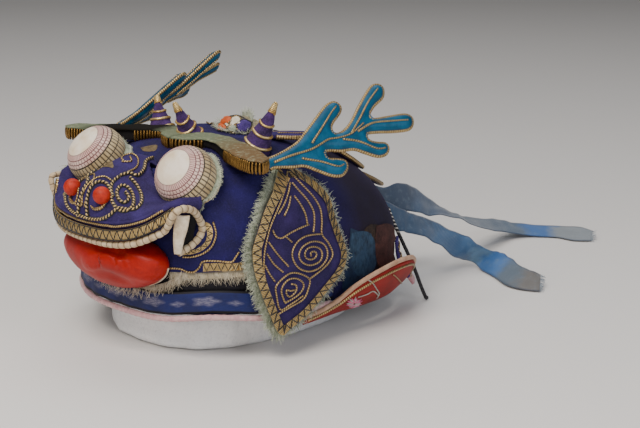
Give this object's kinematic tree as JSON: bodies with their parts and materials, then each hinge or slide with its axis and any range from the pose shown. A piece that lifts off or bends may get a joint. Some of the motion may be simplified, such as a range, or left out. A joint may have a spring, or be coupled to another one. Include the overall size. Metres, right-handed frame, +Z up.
{
  "type": "qilin hat on a foam stand",
  "caption": "Padded child's festival hat shaped as a qilin's head, with horns, antlers, hanging ears, turned-up flaps and ribbons, resting on a plain foam block.",
  "frame": {"origin": "middle of the foam stand's flat underside", "axes": "+Z up, -Y the way the face looks, +Y along the ribbons behind"},
  "size_m": [0.1703, 0.3545, 0.1312],
  "materials": {
    "crown_cloth": "worn violet satin",
    "band_cloth": "woven figured ribbon",
    "piping_cloth": "faded pink piping",
    "face_cloth": "indigo satin",
    "muzzle_cloth": "violet satin",
    "gold_strip": "gold woven strip with black zigzag",
    "ivory_cord": "wrapped ivory cord",
    "red_satin": "red satin",
    "eye_cloth": "ivory and pink stitched cloth",
    "gold_wrap": "gold thread wrapped over ribs",
    "horn_cloth": "violet satin with gold bands",
    "ornament_cloth": "cream cloth with orange petals",
    "antler_cloth": "turquoise satin edged with gold cord",
    "ear_cloth": "violet satin with gold couching",
    "fringe_cloth": "frayed sage and cream cloth",
    "mane_cloth": "dark violet leaves edged with gold",
    "ribbon_satin": "faded blue satin ribbon",
    "tie_thread": "twisted black and white thread",
    "stand_foam": "white foam"
  },
  "bodies": {
    "root": {"crown": "crown_cloth", "head_band": "band_cloth", "back_tab_right": "band_cloth", "back_tab_left": "band_cloth", "band_piping": "piping_cloth", "flap_piping_right": "piping_cloth", "flap_piping_left": "piping_cloth", "face_cloth": "face_cloth", "muzzle": "muzzle_cloth", "lip_strip": "gold_strip", "lip_cord": "ivory_cord", "fang_right": "ivory_cord", "fang_left": "ivory_cord", "mouth_pouch": "red_satin", "nostril_right": "red_satin", "nostril_left": "red_satin", "side_flap_right": "red_satin", "side_flap_left": "red_satin", "eye_right": "eye_cloth", "eye_left": "eye_cloth", "brow_right": "gold_wrap", "brow_left": "gold_wrap", "horn_left": "horn_cloth", "horn_middle": "horn_cloth", "horn_right": "horn_cloth", "crown_ornament": "ornament_cloth", "antler_right": "antler_cloth", "antler_left": "antler_cloth", "ear_right": "ear_cloth", "ear_left": "ear_cloth", "ear_fringe_right": "fringe_cloth", "ear_fringe_left": "fringe_cloth", "face_fringe_right": "fringe_cloth", "face_fringe_left": "fringe_cloth", "mane_leaf_1": "mane_cloth", "mane_leaf_2": "mane_cloth", "mane_leaf_3": "mane_cloth", "mane_leaf_4": "mane_cloth", "mane_leaf_5": "mane_cloth", "mane_leaf_6": "mane_cloth", "ribbon_long": "ribbon_satin", "ribbon_short": "ribbon_satin", "tie_cord": "tie_thread", "foam_stand": "stand_foam"}
  },
  "joints": []
}
